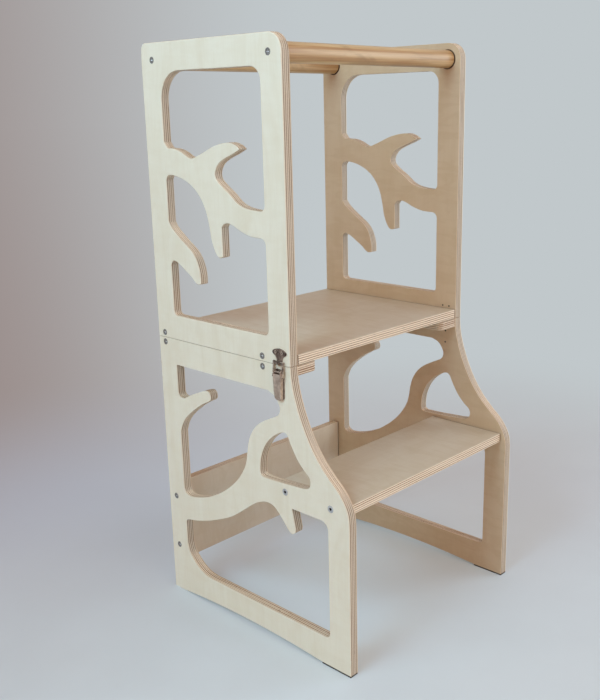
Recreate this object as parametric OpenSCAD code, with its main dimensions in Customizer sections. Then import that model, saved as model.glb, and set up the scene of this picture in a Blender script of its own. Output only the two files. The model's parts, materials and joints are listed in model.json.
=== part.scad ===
// Folding learning tower: two side panels with branch-shaped cut-outs, split at half height, carry a
// platform, a step, two rails and a rear board. The upper half folds back on two hinges, and a toggle
// latch on each side holds it down. Millimetres. X runs across, the front is -Y, the floor is z = 0.

/* [Tower] */
// Width over the side panels
tower_w = 414; // [360:2:480]
// Depth of the lower half
lower_depth = 408; // [390:2:440]
// Depth of the upper half
upper_depth = 300; // [280:2:320]
// Height of each half, so that the folded upper half stands on the floor
half_h = 450; // [430:2:480]
// Seam between the closed halves
seam = 0.6; // [0.4:0.1:1.2]

/* [Side panels] */
// Thickness of the side panels
panel_t = 15; // [13:1:20]
// Width of the upper panel's uprights
upper_stile_w = 42; // [36:1:48]
// Width of the upper panel's top member
top_w = 42; // [38:1:50]
// Width of the member below the upper windows
sill_w = 40; // [36:1:50]
// Width of the lower panel's uprights
lower_stile_w = 40; // [34:1:46]
// Width of the member above the lower windows
head_w = 42; // [38:1:50]
// Width of the member along the floor
foot_w = 48; // [36:1:56]
// Radius of the upper panel's front top corner
front_corner_r = 25; // [8:1:36]
// Radius of the upper panel's rear top corner
rear_corner_r = 10; // [4:1:30]
// Rise of the arch between the feet
arch_h = 7; // [2:1:12]
// Length of the rear foot
rear_foot_l = 22; // [12:1:60]

/* [Boards] */
// Thickness of the platform
platform_t = 15; // [12:1:20]
// Height of the step's top face
step_h = 264; // [250:1:280]
// Thickness of the step
step_t = 15; // [12:1:20]
// Depth of the step
step_depth = 141; // [120:1:160]
// Set-back of the step from the front edge
step_setback = 10; // [4:1:20]
// Thickness of the rear board
board_t = 15; // [12:1:20]
// Height of the rear board
board_h = 142; // [100:1:160]
// Height of the rear board above the floor
board_lift = 58; // [40:1:70]
// Set-back of the rear board from the rear edge
board_setback = 10; // [4:1:20]
// Width of the cleats under the platform
cleat_w = 41; // [32:1:60]
// Thickness of the cleats
cleat_t = 15; // [12:1:20]
// Radius of the cleats' inner front corner
cleat_corner_r = 10; // [3:1:20]
// Gap between a board's end and the side panel
end_gap = 0.5; // [0.1:0.1:0.8]

/* [Rails] */
// Diameter of the round rails
rail_d = 28; // [22:1:34]
// Distance of the rails' centres from the panel edges
rail_inset = 25; // [22:1:30]
// Depth of the pockets that hold the rails
pocket_depth = 5; // [3:0.5:8]
// Gap round a rail in its pocket
pocket_gap = 0.5; // [0.2:0.1:0.8]

/* [Feet] */
// Length of the pads under the front feet
pad_l = 57; // [30:1:80]
// Thickness of the pads
pad_t = 2.5; // [1:0.5:4]

/* [Screws] */
// Head diameter of the countersunk screws
head_d = 10; // [8:0.5:12]
// Shank diameter of the countersunk screws
shank_d = 4; // [3:0.5:5]
// Length of the countersunk screws
screw_l = 45; // [35:1:60]
// Distance of the platform and cleat screws from the rear edge
rear_screw_in = 15; // [14:1:30]
// Distance of the platform and cleat screws from the front edge
front_screw_in = 57; // [40:1:80]
// Distance of the step screws from the step's edges
step_screw_in = 25; // [16:1:40]
// Distance of the rear board's screws from its edges
board_screw_in = 26; // [16:1:40]
// Head diameter of the step's connector bolts
bolt_head_d = 11; // [9:0.5:13]
// Shank diameter of the step's connector bolts
bolt_d = 6; // [5:0.5:8]
// Head diameter of the small hardware screws
small_head_d = 5; // [4.5:0.5:6.5]
// Shank diameter of the small hardware screws
small_d = 3; // [2.5:0.5:3.5]
// Length of the small hardware screws in the wood
small_l = 10; // [7:0.5:11]

/* [Hinges] */
// Length of a hinge
hinge_l = 38; // [34:1:40]
// Distance of a hinge from the side panel
hinge_in = 2; // [1:0.5:3]
// Thickness of the hinge leaves
leaf_t = 1.5; // [1:0.1:2]
// Distance of the hinge pin's centre behind the panels
pin_back = 4; // [3.8:0.1:6]
// Diameter of the hinge barrel
barrel_d = 7; // [6:0.2:7.4]
// Diameter of the hinge pin
hinge_pin_d = 4; // [3:0.2:4.6]

/* [Latches] */
// Distance of a latch's centre line from the upper panel's front edge
latch_in = 20; // [18:1:24]
// Width of the bail
bail_w = 21; // [19:1:24]
// Width of the base plate
base_w = 16; // [15:1:18]
// Thickness of the latch's sheet metal
sheet_t = 1.2; // [1:0.1:1.5]
// Length of the lever below its pivot
lever_l = 42; // [36:1:50]
// Width of the lever's tip
lever_tip_w = 13; // [11:0.5:15]
// Drop of the lever's pivot below the fold line
pivot_drop = 8.5; // [8:0.5:11]
// Distance from the lever's pivot to the bail's pivot
crank = 6.5; // [6:0.1:7]
// Height of the hooked bail bar above the fold line
bar_rise = 5.6; // [5:0.1:7]
// Diameter of the bail bar
bar_d = 2.6; // [2:0.1:3]
// Diameter of the lever's pivot pin
pivot_d = 3; // [2.4:0.1:3.2]
// Width of the catch plate's ears
catch_w = 28; // [26:1:32]
// Width of the hook
hook_w = 11; // [8:0.5:12]

/* [Hidden] */
$fn = 40;

// Gap where one piece fits against or into another
fit = 0.1;
// Radial gap of a pin or shank in its hole
run_fit = 0.05;
// Gap between sheet metal parts that move past each other
slide_gap = 0.2;
// Length by which a cutting shape runs past what it cuts
past = 1;
// Room in front of a screw's tip
tip_room = 0.5;
// How far the foot window reaches below the step, and the leaf-shaped window above it
twig_drop = 15;
leaf_lift = 5;

fold_z = half_h + seam / 2;
upper_z = half_h + seam;
top_z = 2 * half_h;
hinge_back = pin_back + barrel_d / 2;
rear_y = (lower_depth - hinge_back) / 2;
inner_w = tower_w - 2 * panel_t;
board_l = inner_w - 2 * end_gap;
platform_mid = upper_z + platform_t / 2;
cleat_mid = half_h - cleat_t / 2;
step_mid = step_h - step_t / 2;
step_front = lower_depth - step_setback;
step_rear = step_front - step_depth;
board_mid = board_setback + board_t / 2;
latch_d = upper_depth - latch_in;
countersink_h = (head_d - shank_d) / 2;
head_land = 0.4;
recess_l = 5.4;
recess_w = 1.2;
recess_h = 1.4;
bolt_head_h = 3;
bolt_l = screw_l + 5;
socket_w = 4.6;
socket_h = 2.4;
small_head_h = 1.2;
small_recess_l = 3;
small_recess_w = 0.7;
leaf_margin = 5.5;
leaf_end = 6;

wood_pale = [0.86, 0.83, 0.74];
wood_warm = [0.78, 0.70, 0.60];
wood_rail = [0.75, 0.58, 0.36];
steel_grey = [0.45, 0.45, 0.46];
steel_bright = [0.66, 0.66, 0.66];
bronze = [0.50, 0.43, 0.38];
rubber_dark = [0.18, 0.15, 0.13];

// Points of a circular arc, both ends included
function arc(c, r, a0, a1, n = 10) =
    [for (i = [0:n]) c + r * [cos(a0 + (a1 - a0) * i / n), sin(a0 + (a1 - a0) * i / n)]];

// One point of a smooth curve between b and c
function smooth_point(a, b, c, d, t) =
    0.5 * (2 * b + (c - a) * t + (2 * a - 5 * b + 4 * c - d) * t * t + (3 * b - a - 3 * c + d) * t * t * t);

// A smooth curve through the points p, with n steps from one to the next
function curve(p, n = 4) = let (m = len(p) - 1) concat(
    [for (i = [0:m - 1], j = [0:n - 1]) smooth_point(
        i == 0 ? 2 * p[0] - p[1] : p[i - 1], p[i], p[i + 1],
        i == m - 1 ? 2 * p[m] - p[m - 1] : p[i + 2], j / n)],
    [p[m]]);

// A smooth closed curve through the points p
function ring(p, n = 4) = let (m = len(p))
    [for (i = [0:m - 1], j = [0:n - 1])
        smooth_point(p[(i + m - 1) % m], p[i], p[(i + 1) % m], p[(i + 2) % m], j / n)];

// A list without its first item
function tail(p) = [for (i = [1:len(p) - 1]) p[i]];

// The panels are drawn at their standard size, as [distance from the rear edge, height]. These tables
// move what is drawn with the sizes above, and at the standard sizes they change nothing.
function upper_map(p) = [
    lookup(p[0], [[0, 0], [42, upper_stile_w], [258, upper_depth - upper_stile_w], [300, upper_depth]]),
    lookup(p[1], [[490, half_h + sill_w], [858, top_z - top_w]])];
function lower_map(p) = [
    lookup(p[0], [[0, 0], [40, lower_stile_w], [300, upper_depth], [368, lower_depth - lower_stile_w],
        [408, lower_depth]]),
    lookup(p[1], [[0, 0], [48, foot_w], [234, step_h - step_t - twig_drop], [269, step_h + leaf_lift],
        [408, half_h - head_w], [450, half_h]])];

// Window over the branch, with the branch's upper twig along its lower edge
crown_window = concat(
    [[42, 757]], arc([83, 817], 41, 180, 90), arc([238, 838], 20, 90, 0), arc([250, 674], 8, 0, -90, 4),
    tail(curve([[250, 666], [232, 667], [214, 670], [200, 676], [187, 686], [163, 702], [157, 711],
        [159, 720], [167, 729], [181, 736], [197, 742], [213, 749]])),
    tail(curve([[213, 749], [203, 755], [190, 758], [171, 756], [152, 751], [132, 743], [113, 736],
        [105, 734], [97, 736], [82, 743], [68, 747], [50, 748]])));

// Window under the branch, with two hanging twigs
hanging_window = concat(
    curve([[42, 700], [46, 706], [54, 708], [65, 707], [82, 703], [100, 695], [115, 684], [126, 670],
        [134, 653], [139, 633], [142, 617], [148, 602], [154, 594], [160, 592], [166, 594]]),
    curve([[166, 637], [171, 642], [180, 644], [190, 642], [209, 634], [228, 629], [247, 628]]),
    arc([248, 618], 10, 90, 0, 4), arc([250, 498], 8, 0, -90, 4), arc([50, 498], 8, 270, 180, 4),
    curve([[42, 570], [45, 575], [51, 577], [62, 573], [77, 564], [90, 556], [98, 549], [105, 546],
        [112, 547]]),
    tail(curve([[112, 547], [112, 560], [109, 573], [103, 586], [93, 597], [78, 607], [62, 618],
        [49, 628], [42, 637]])));

// Window behind the curved trunk, with a short twig from the rear upright
trunk_window = concat(
    [[40, 408]],
    curve([[252, 408], [266, 402], [275, 390], [276, 380], [270, 372], [255, 365], [236, 355],
        [221, 343], [210, 327], [204, 309], [201, 291], [196, 275], [187, 260], [174, 244], [155, 227],
        [130, 210], [102, 196], [74, 187], [54, 184], [44, 187], [40, 194]]),
    curve([[40, 294], [47, 310], [61, 326], [83, 343], [104, 356], [118, 363], [121, 370], [117, 377],
        [107, 377], [86, 369], [68, 361], [57, 355], [50, 354], [43, 356], [40, 361]]));

// Leaf-shaped window in the curved front
leaf_window = ring([[229, 277], [230, 290], [233, 302], [240, 317], [250, 330], [262, 340], [274, 347],
    [285, 350], [291, 346], [295, 338], [302, 326], [311, 313], [322, 302], [332, 294], [335, 286],
    [332, 277], [322, 273], [300, 271], [270, 269], [240, 268], [231, 270]]);

// Window over the foot, with one twig that hangs behind the step's front
foot_window = concat(
    curve([[40, 134], [45, 139], [68, 144], [98, 153], [121, 162], [142, 171], [161, 181], [180, 194],
        [199, 208], [217, 220], [233, 227], [246, 229], [258, 226], [270, 216], [280, 205], [288, 196],
        [295, 193], [301, 197]]),
    [[302, 202], [295, 234]], arc([354, 220], 14, 90, 0, 6), arc([360, 56], 8, 0, -90, 4),
    curve([[100, 48], [84, 50], [68, 57], [54, 68], [44, 80], [40, 95]]));

// Curved front edge of the lower panel, from the step up to the fold line
front_edge = curve([[408, 241], [406, 256], [400, 270], [388, 286], [371, 301], [353, 319], [337, 340],
    [324, 363], [313, 388], [305, 413], [301, 433], [300, 450]]);

// Floor edge of the lower panel: rear foot, arch, and a front foot that stands on its pad
arch_end = lower_depth - pad_l;
floor_edge = concat(
    [[0, 0]],
    [for (i = [0:20]) let (t = i / 20)
        [rear_foot_l + (arch_end - rear_foot_l) * t, pad_t * t + 4 * arch_h * t * (1 - t)]],
    [[lower_depth, pad_t]]);

// Takes [distance forward, height, distance outward] to the outer face of the left panel
module on_left() {
    translate([-tower_w / 2, rear_y, 0]) rotate([90, 0, -90]) children();
}

// The same on the right
module on_right() {
    mirror([1, 0, 0]) on_left() children();
}

// Both sides, for fasteners that share a node
module on_both() {
    on_left() children();
    on_right() children();
}

// Screw places as [distance forward, height]
rail_places = [[rail_inset, top_z - rail_inset], [upper_depth - rail_inset, top_z - rail_inset]];
platform_places = [[rear_screw_in, platform_mid], [upper_depth - front_screw_in, platform_mid]];
cleat_places = [[rear_screw_in, cleat_mid], [upper_depth - front_screw_in, cleat_mid]];
step_places = [[step_rear + step_screw_in, step_mid], [step_front - step_screw_in, step_mid]];
board_places = [[board_mid, board_lift + board_screw_in],
    [board_mid, board_lift + board_h - board_screw_in]];
// Distances of a hinge and of its screws from the panel's outer face
hinge_start = panel_t + hinge_in;
hinge_places = [hinge_start + leaf_end, hinge_start + hinge_l / 2, hinge_start + hinge_l - leaf_end];

// Stands its children at each place of a list
module at_places(places) {
    for (p = places) translate([p[0], p[1], 0]) children();
}

// Countersunk screw, driven inward from the face at zero, or its hole when gap is set
module countersunk(gap = 0) {
    room = gap > 0 ? tip_room : 0;
    translate([0, 0, -head_land]) cylinder(d = head_d + 2 * gap, h = head_land + (gap > 0 ? past : 0));
    translate([0, 0, -head_land - countersink_h])
        cylinder(d1 = shank_d + 2 * gap, d2 = head_d + 2 * gap, h = countersink_h);
    translate([0, 0, -screw_l - room])
        cylinder(d = shank_d + 2 * gap, h = screw_l + room - head_land - countersink_h);
}

// Countersunk screw with its cross recess
module wood_screw() {
    difference() {
        countersunk();
        for (a = [0, 90])
            rotate(a) translate([-recess_l / 2, -recess_w / 2, -recess_h])
                cube([recess_l, recess_w, recess_h + past]);
    }
}

// Connector bolt with a flat head and a hexagon socket, or its hole when gap is set
module connector(gap = 0) {
    room = gap > 0 ? tip_room : 0;
    translate([0, 0, -bolt_head_h - gap])
        cylinder(d = bolt_head_d + 2 * gap, h = bolt_head_h + gap + (gap > 0 ? past : 0));
    translate([0, 0, -bolt_l - room])
        cylinder(d = bolt_d + 2 * gap, h = bolt_l + room - bolt_head_h);
}

module step_bolt() {
    difference() {
        connector();
        translate([0, 0, -socket_h]) cylinder(d = socket_w, h = socket_h + past, $fn = 6);
    }
}

// Small screw that enters the wood by l, with its head on a plate of thickness t
module small_screw(t, l = small_l) {
    difference() {
        union() {
            translate([0, 0, t + fit]) cylinder(d = small_head_d, h = small_head_h);
            translate([0, 0, -l]) cylinder(d = small_d, h = l + t + fit + past / 2);
        }
        for (a = [0, 90])
            rotate(a) translate([-small_recess_l / 2, -small_recess_w / 2, t + fit + small_head_h / 2])
                cube([small_recess_l, small_recess_w, small_head_h]);
    }
}

module small_hole(l = small_l) {
    translate([0, 0, -l - past / 2]) cylinder(d = small_d + 2 * run_fit, h = l + past);
}

// Moves to the latch's centre line on the fold line, in the left panel's frame
module at_latch() {
    translate([latch_d, fold_z, 0]) children();
}

// Stands small hinge screws on the rear edges, up or down from the fold line
module at_hinge_screws(side, rise) {
    for (x = hinge_places) translate([side * (x - tower_w / 2), rear_y, fold_z + rise])
        rotate([-90, 0, 0]) children();
}
hinge_rise = seam / 2 + platform_t / 2;
hinge_drop = -seam / 2 - cleat_t / 2;

// Upper side panel, drawn on the left
module upper_panel() {
    difference() {
        on_left() translate([0, 0, -panel_t]) linear_extrude(panel_t) difference() {
            polygon(concat([[0, upper_z], [upper_depth, upper_z]],
                arc([upper_depth - front_corner_r, top_z - front_corner_r], front_corner_r, 0, 90),
                arc([rear_corner_r, top_z - rear_corner_r], rear_corner_r, 90, 180)));
            polygon([for (p = crown_window) upper_map(p)]);
            polygon([for (p = hanging_window) upper_map(p)]);
        }
        on_left() at_places(rail_places) {
            countersunk(run_fit);
            translate([0, 0, -panel_t - past])
                cylinder(d = rail_d + 2 * pocket_gap, h = pocket_depth + past);
        }
        on_left() at_places(platform_places) countersunk(run_fit);
        on_left() at_latch() at_places(catch_places) small_hole(panel_t);
    }
}

// Lower side panel, drawn on the left
module lower_panel() {
    difference() {
        on_left() translate([0, 0, -panel_t]) linear_extrude(panel_t) difference() {
            polygon(concat(floor_edge, [for (p = front_edge) lower_map(p)], [[0, half_h]]));
            polygon([for (p = trunk_window) lower_map(p)]);
            polygon([for (p = leaf_window) lower_map(p)]);
            polygon([for (p = foot_window) lower_map(p)]);
        }
        on_left() at_places(cleat_places) countersunk(run_fit);
        on_left() at_places(board_places) countersunk(run_fit);
        on_left() at_places(step_places) connector(run_fit);
        on_left() at_latch() at_places(base_places) small_hole(panel_t);
    }
}

module upper_panel_left() { color(wood_pale) upper_panel(); }
module upper_panel_right() { color(wood_pale) mirror([1, 0, 0]) upper_panel(); }
module lower_panel_left() { color(wood_pale) lower_panel(); }
module lower_panel_right() { color(wood_pale) mirror([1, 0, 0]) lower_panel(); }

// Board across the tower from one panel to the other: distance forward, height, depth, thickness
module cross_board(d, z, depth, t) {
    translate([-board_l / 2, rear_y - d - depth, z]) cube([board_l, depth, t]);
}

module platform() {
    color(wood_warm) difference() {
        cross_board(0, upper_z, upper_depth, platform_t);
        on_both() at_places(platform_places) countersunk(run_fit);
        for (side = [-1, 1]) at_hinge_screws(side, hinge_rise) small_hole();
    }
}

module step_board() {
    color(wood_warm) difference() {
        cross_board(step_rear, step_h - step_t, step_depth, step_t);
        on_both() at_places(step_places) connector(run_fit);
    }
}

module rear_board() {
    color(wood_warm) difference() {
        cross_board(board_setback, board_lift, board_t, board_h);
        on_both() at_places(board_places) countersunk(run_fit);
    }
}

// Cleat that carries the platform, on the left, with its inner front corner rounded
module cleat() {
    difference() {
        translate([-inner_w / 2 + fit, rear_y, half_h - cleat_t]) linear_extrude(cleat_t)
            polygon(concat([[0, 0], [0, -upper_depth]],
                arc([cleat_w - cleat_corner_r, cleat_corner_r - upper_depth], cleat_corner_r, -90, 0),
                [[cleat_w, 0]]));
        on_left() at_places(cleat_places) countersunk(run_fit);
        at_hinge_screws(1, hinge_drop) small_hole();
    }
}

module cleat_left() { color(wood_warm) cleat(); }
module cleat_right() { color(wood_warm) mirror([1, 0, 0]) cleat(); }

// Round rail with its ends in the panels' pockets
module rail(place) {
    rail_l = inner_w + 2 * pocket_depth - 2 * fit;
    color(wood_rail) difference() {
        translate([-rail_l / 2, rear_y - place[0], place[1]]) rotate([0, 90, 0])
            cylinder(d = rail_d, h = rail_l, $fn = 64);
        on_both() at_places([place]) countersunk(run_fit);
    }
}

module rear_rail() { rail(rail_places[0]); }
module front_rail() { rail(rail_places[1]); }

module foot_pads() {
    color(rubber_dark) for (side = [-1, 1])
        translate([side * (tower_w - panel_t) / 2 - panel_t / 2, rear_y - lower_depth, 0])
            cube([panel_t, pad_l, pad_t - fit]);
}

module rail_screws() { color(steel_grey) on_both() at_places(rail_places) wood_screw(); }
module platform_screws() { color(steel_grey) on_both() at_places(platform_places) wood_screw(); }
module cleat_screws() { color(steel_grey) on_both() at_places(cleat_places) wood_screw(); }
module rear_board_screws() { color(steel_grey) on_both() at_places(board_places) wood_screw(); }
module step_bolts() { color(steel_bright) on_both() at_places(step_places) step_bolt(); }

// Hinge leaf on the left, with its knuckles. Up is 1 for the upper leaf and -1 for the lower one.
knuckle_l = (hinge_l - 4 * slide_gap) / 3;
module hinge_leaf(up) {
    rise = up > 0 ? hinge_rise : -hinge_drop;
    spans = up > 0 ? [1] : [0, 2];
    others = up > 0 ? [0, 2] : [1];
    x0 = hinge_start - tower_w / 2;
    difference() {
        union() {
            translate([x0, rear_y, fold_z + (up > 0 ? slide_gap : -rise - leaf_margin)])
                cube([hinge_l, leaf_t, rise + leaf_margin - slide_gap]);
            for (i = spans) knuckle(x0, i, barrel_d, 0);
            for (i = spans) translate([x0 + slide_gap + i * (knuckle_l + slide_gap), rear_y,
                fold_z - (up > 0 ? 0 : barrel_d / 2)]) cube([knuckle_l, leaf_t, barrel_d / 2]);
        }
        for (i = others) knuckle(x0, i, barrel_d + 2 * slide_gap, slide_gap);
        translate([x0 - past, rear_y + pin_back, fold_z]) rotate([0, 90, 0])
            cylinder(d = hinge_pin_d + 2 * run_fit, h = hinge_l + 2 * past);
        at_hinge_screws(1, up * rise) translate([0, 0, -past])
            cylinder(d = small_d + 2 * run_fit, h = leaf_t + 2 * past);
    }
}

// One of a hinge's three knuckles, longer by extra at both ends
module knuckle(x0, i, d, extra) {
    translate([x0 + slide_gap + i * (knuckle_l + slide_gap) - extra, rear_y + pin_back, fold_z])
        rotate([0, 90, 0]) cylinder(d = d, h = knuckle_l + 2 * extra);
}

module hinge_upper_leaf_left() { color(steel_bright) hinge_leaf(1); }
module hinge_upper_leaf_right() { color(steel_bright) mirror([1, 0, 0]) hinge_leaf(1); }
module hinge_lower_leaf_left() { color(steel_bright) hinge_leaf(-1); }
module hinge_lower_leaf_right() { color(steel_bright) mirror([1, 0, 0]) hinge_leaf(-1); }

module hinge_pins() {
    color(steel_grey) for (side = [0, 1]) mirror([side, 0, 0])
        translate([hinge_start - tower_w / 2, rear_y + pin_back, fold_z]) rotate([0, 90, 0])
            cylinder(d = hinge_pin_d, h = hinge_l);
}

module hinge_upper_screws() {
    color(steel_grey) for (side = [-1, 1]) at_hinge_screws(side, hinge_rise) small_screw(leaf_t);
}

module hinge_lower_screws() {
    color(steel_grey) for (side = [-1, 1]) at_hinge_screws(side, hinge_drop) small_screw(leaf_t);
}

// Latch, in its own frame: forward, height over the fold line, distance out from the panel.
// The lever turns on the base's ears, and the bail turns on the lever just past dead centre.
over_centre = 8;
ear_r = 2.6;
eye_r = 3;
eye_gap = 1.2;
pivot_out = sheet_t + eye_gap + eye_r;
bail_out = pivot_out - crank * sin(over_centre);
bail_drop = pivot_drop + crank * cos(over_centre);
bail_eye_r = 2.2;
bail_pin_d = 2.6;
leg_t = 2.4;
leg_half_w = 1.6;
bar_gap = 0.4;
bar_out = sheet_t + bar_gap + bar_d / 2;
throat = 2;
lip_h = 1.8;
hook_root = 6;
heel_r = 1;
toe_r = 1.6;
lever_rise = 2.5;
lever_out = pivot_out + lever_rise;
wall_gap = 0.6;
wall_out = sheet_t + wall_gap;
lever_w = bail_w - 2 * leg_t - 2 * slide_gap;
ear_half_w = lever_w / 2 - sheet_t - slide_gap;
plate_top = pivot_drop + eye_r;
tip_in = 1.6;
tip_r = 4;
tip_drop = pivot_drop + lever_l;
bend_l = 12;
bend_drop = tip_drop - bend_l;
taper_drop = plate_top + 4;
clear_out = 20;
base_top = 5.5;
base_low = 50;
base_top_r = 2;
base_low_r = 4;
ear_root = 3;
catch_hole_in = 6.5;
catch_hole_rise = 19.5;
base_hole_drop = 25;
base_hole_up = 5;
catch_places = [[-catch_hole_in, catch_hole_rise], [catch_hole_in, catch_hole_rise]];
base_places = [[0, -base_hole_drop], [0, base_hole_up - base_low]];

// Draws [distance out, height] and extrudes it along the latch's width
module across(w) {
    rotate([0, -90, 0]) linear_extrude(w, center = true) children();
}

module across_pin(out, height, d, w) {
    translate([0, height, out]) rotate([0, 90, 0]) cylinder(d = d, h = w, center = true);
}

// Catch plate: a fan with two screw holes, a neck, and a hook that opens upward
module catch_plate() {
    side = [[hook_w / 2, 5], [hook_w / 2, 8.5], [hook_w / 2 + 2.5, 13], [catch_w / 2 - 1.5, 16],
        [catch_w / 2, 18.5], [catch_w / 2 - 1.5, 21], [catch_w / 2 - 6, 23.5], [0, 25]];
    half = curve(side);
    hook_low = bar_rise - bar_d / 2 - slide_gap;
    hook_out = bar_out + bar_d / 2 + throat;
    difference() {
        union() {
            linear_extrude(sheet_t)
                polygon(concat(half, [for (i = [len(half) - 2:-1:0]) [-half[i][0], half[i][1]]]));
            across(hook_w) polygon(concat(
                [[0, hook_root]], arc([heel_r, hook_low - sheet_t + heel_r], heel_r, 180, 270, 4),
                arc([hook_out + sheet_t - toe_r, hook_low - sheet_t + toe_r], toe_r, -90, 0, 5),
                [[hook_out + sheet_t, hook_low + lip_h], [hook_out, hook_low + lip_h],
                [hook_out, hook_low], [sheet_t, hook_low], [sheet_t, hook_root]]));
        }
        at_places(catch_places)
            translate([0, 0, -past]) cylinder(d = small_d + 2 * run_fit, h = sheet_t + 2 * past);
    }
}

// Base plate with two ears for the lever's pivot pin
module latch_base() {
    top = [base_w / 2 - base_top_r, -base_top - base_top_r];
    low = [base_w / 2 - base_low_r, -base_low + base_low_r];
    difference() {
        union() {
            linear_extrude(sheet_t) polygon(concat(
                arc(top, base_top_r, 0, 90, 4), arc([-top[0], top[1]], base_top_r, 90, 180, 4),
                arc([-low[0], low[1]], base_low_r, 180, 270, 6), arc(low, base_low_r, 270, 360, 6)));
            for (s = [-1, 1]) translate([s * (ear_half_w - sheet_t / 2), 0, 0]) across(sheet_t)
                polygon(concat([[0, -pivot_drop - ear_root], [0, -pivot_drop + ear_root]],
                    arc([pivot_out, -pivot_drop], ear_r, 90, -90)));
        }
        across_pin(pivot_out, -pivot_drop, pivot_d + 2 * run_fit, bail_w);
        at_places(base_places)
            translate([0, 0, -past]) cylinder(d = small_d + 2 * run_fit, h = sheet_t + 2 * past);
    }
}

// Lever: a tapered channel with a rounded tip, and with holes for its own pivot and for the bail's
module latch_lever() {
    difference() {
        intersection() {
            across(bail_w) polygon(concat(
                arc([pivot_out, -pivot_drop], eye_r, 180, 0, 12),
                [[lever_out, -plate_top], [lever_out, -bend_drop], [lever_out - tip_in, -tip_drop],
                [wall_out, -tip_drop], [wall_out, -bail_drop]]));
            lever_outline(0);
        }
        intersection() {
            across(bail_w) polygon([[-past, 0], [clear_out, 0], [clear_out, -plate_top],
                [lever_out - sheet_t, -plate_top], [lever_out - sheet_t, -bend_drop],
                [lever_out - tip_in - sheet_t, -tip_drop], [-past, -tip_drop]]);
            lever_outline(sheet_t);
        }
        across_pin(pivot_out, -pivot_drop, pivot_d + 2 * run_fit, bail_w);
        across_pin(bail_out, -bail_drop, bail_pin_d + 2 * run_fit, bail_w);
    }
}

// The lever seen from the front, narrower by t all round
module lever_outline(t) {
    w = lever_w / 2 - t;
    tip = lever_tip_w / 2 - t;
    r = tip_r - t;
    translate([0, 0, -past]) linear_extrude(clear_out) polygon(concat(
        [[w, past], [w, -taper_drop]], arc([tip - r, -tip_drop + t + r], r, 0, -90, 6),
        arc([r - tip, -tip_drop + t + r], r, -90, -180, 6), [[-w, -taper_drop], [-w, past]]));
}

// Bail: two legs, the bar that lies in the hook, and the inward ends that turn in the lever
module latch_bail() {
    leg_x = bail_w / 2 - leg_t / 2;
    pin_l = leg_t + slide_gap + sheet_t;
    for (s = [-1, 1]) {
        translate([s * leg_x, 0, 0]) across(leg_t) {
            translate([bail_out, -bail_drop]) circle(r = bail_eye_r);
            translate([bar_out, bar_rise]) circle(r = leg_half_w);
            polygon([[bail_out - leg_half_w, -bail_drop], [bail_out + leg_half_w, -bail_drop],
                [bar_out + leg_half_w, bar_rise], [bar_out - leg_half_w, bar_rise]]);
        }
        translate([s * (bail_w - pin_l) / 2, 0, 0]) across_pin(bail_out, -bail_drop, bail_pin_d, pin_l);
    }
    across_pin(bar_out, bar_rise, bar_d, bail_w - leg_t);
}

module catch_plate_left() { color(bronze) on_left() at_latch() catch_plate(); }
module catch_plate_right() { color(bronze) on_right() at_latch() catch_plate(); }
module latch_base_left() { color(bronze) on_left() at_latch() latch_base(); }
module latch_base_right() { color(bronze) on_right() at_latch() latch_base(); }
module latch_lever_left() { color(bronze) on_left() at_latch() latch_lever(); }
module latch_lever_right() { color(bronze) on_right() at_latch() latch_lever(); }
module latch_bail_left() { color(bronze) on_left() at_latch() latch_bail(); }
module latch_bail_right() { color(bronze) on_right() at_latch() latch_bail(); }

module latch_pivot_pins() {
    color(steel_grey) on_both() at_latch() across_pin(pivot_out, -pivot_drop, pivot_d, lever_w);
}

module catch_screws() {
    color(bronze) on_both() at_latch() at_places(catch_places) small_screw(sheet_t, panel_t);
}

module latch_base_screws() {
    color(bronze) on_both() at_latch() at_places(base_places) small_screw(sheet_t, panel_t);
}

upper_panel_left();
upper_panel_right();
lower_panel_left();
lower_panel_right();
platform();
front_rail();
rear_rail();
step_board();
rear_board();
cleat_left();
cleat_right();
foot_pads();
rail_screws();
platform_screws();
cleat_screws();
step_bolts();
rear_board_screws();
hinge_upper_leaf_left();
hinge_upper_leaf_right();
hinge_lower_leaf_left();
hinge_lower_leaf_right();
hinge_pins();
hinge_upper_screws();
hinge_lower_screws();
catch_plate_left();
catch_plate_right();
catch_screws();
latch_base_left();
latch_base_right();
latch_base_screws();
latch_pivot_pins();
latch_lever_left();
latch_lever_right();
latch_bail_left();
latch_bail_right();
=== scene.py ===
"""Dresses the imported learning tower: eased plywood, oiled rails, latches, hinges, screws and the stage."""
import json
import math
from collections import namedtuple

import bmesh
import bpy
from bpy.props import FloatProperty, FloatVectorProperty, IntProperty, PointerProperty
from mathutils import Matrix, Vector


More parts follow.
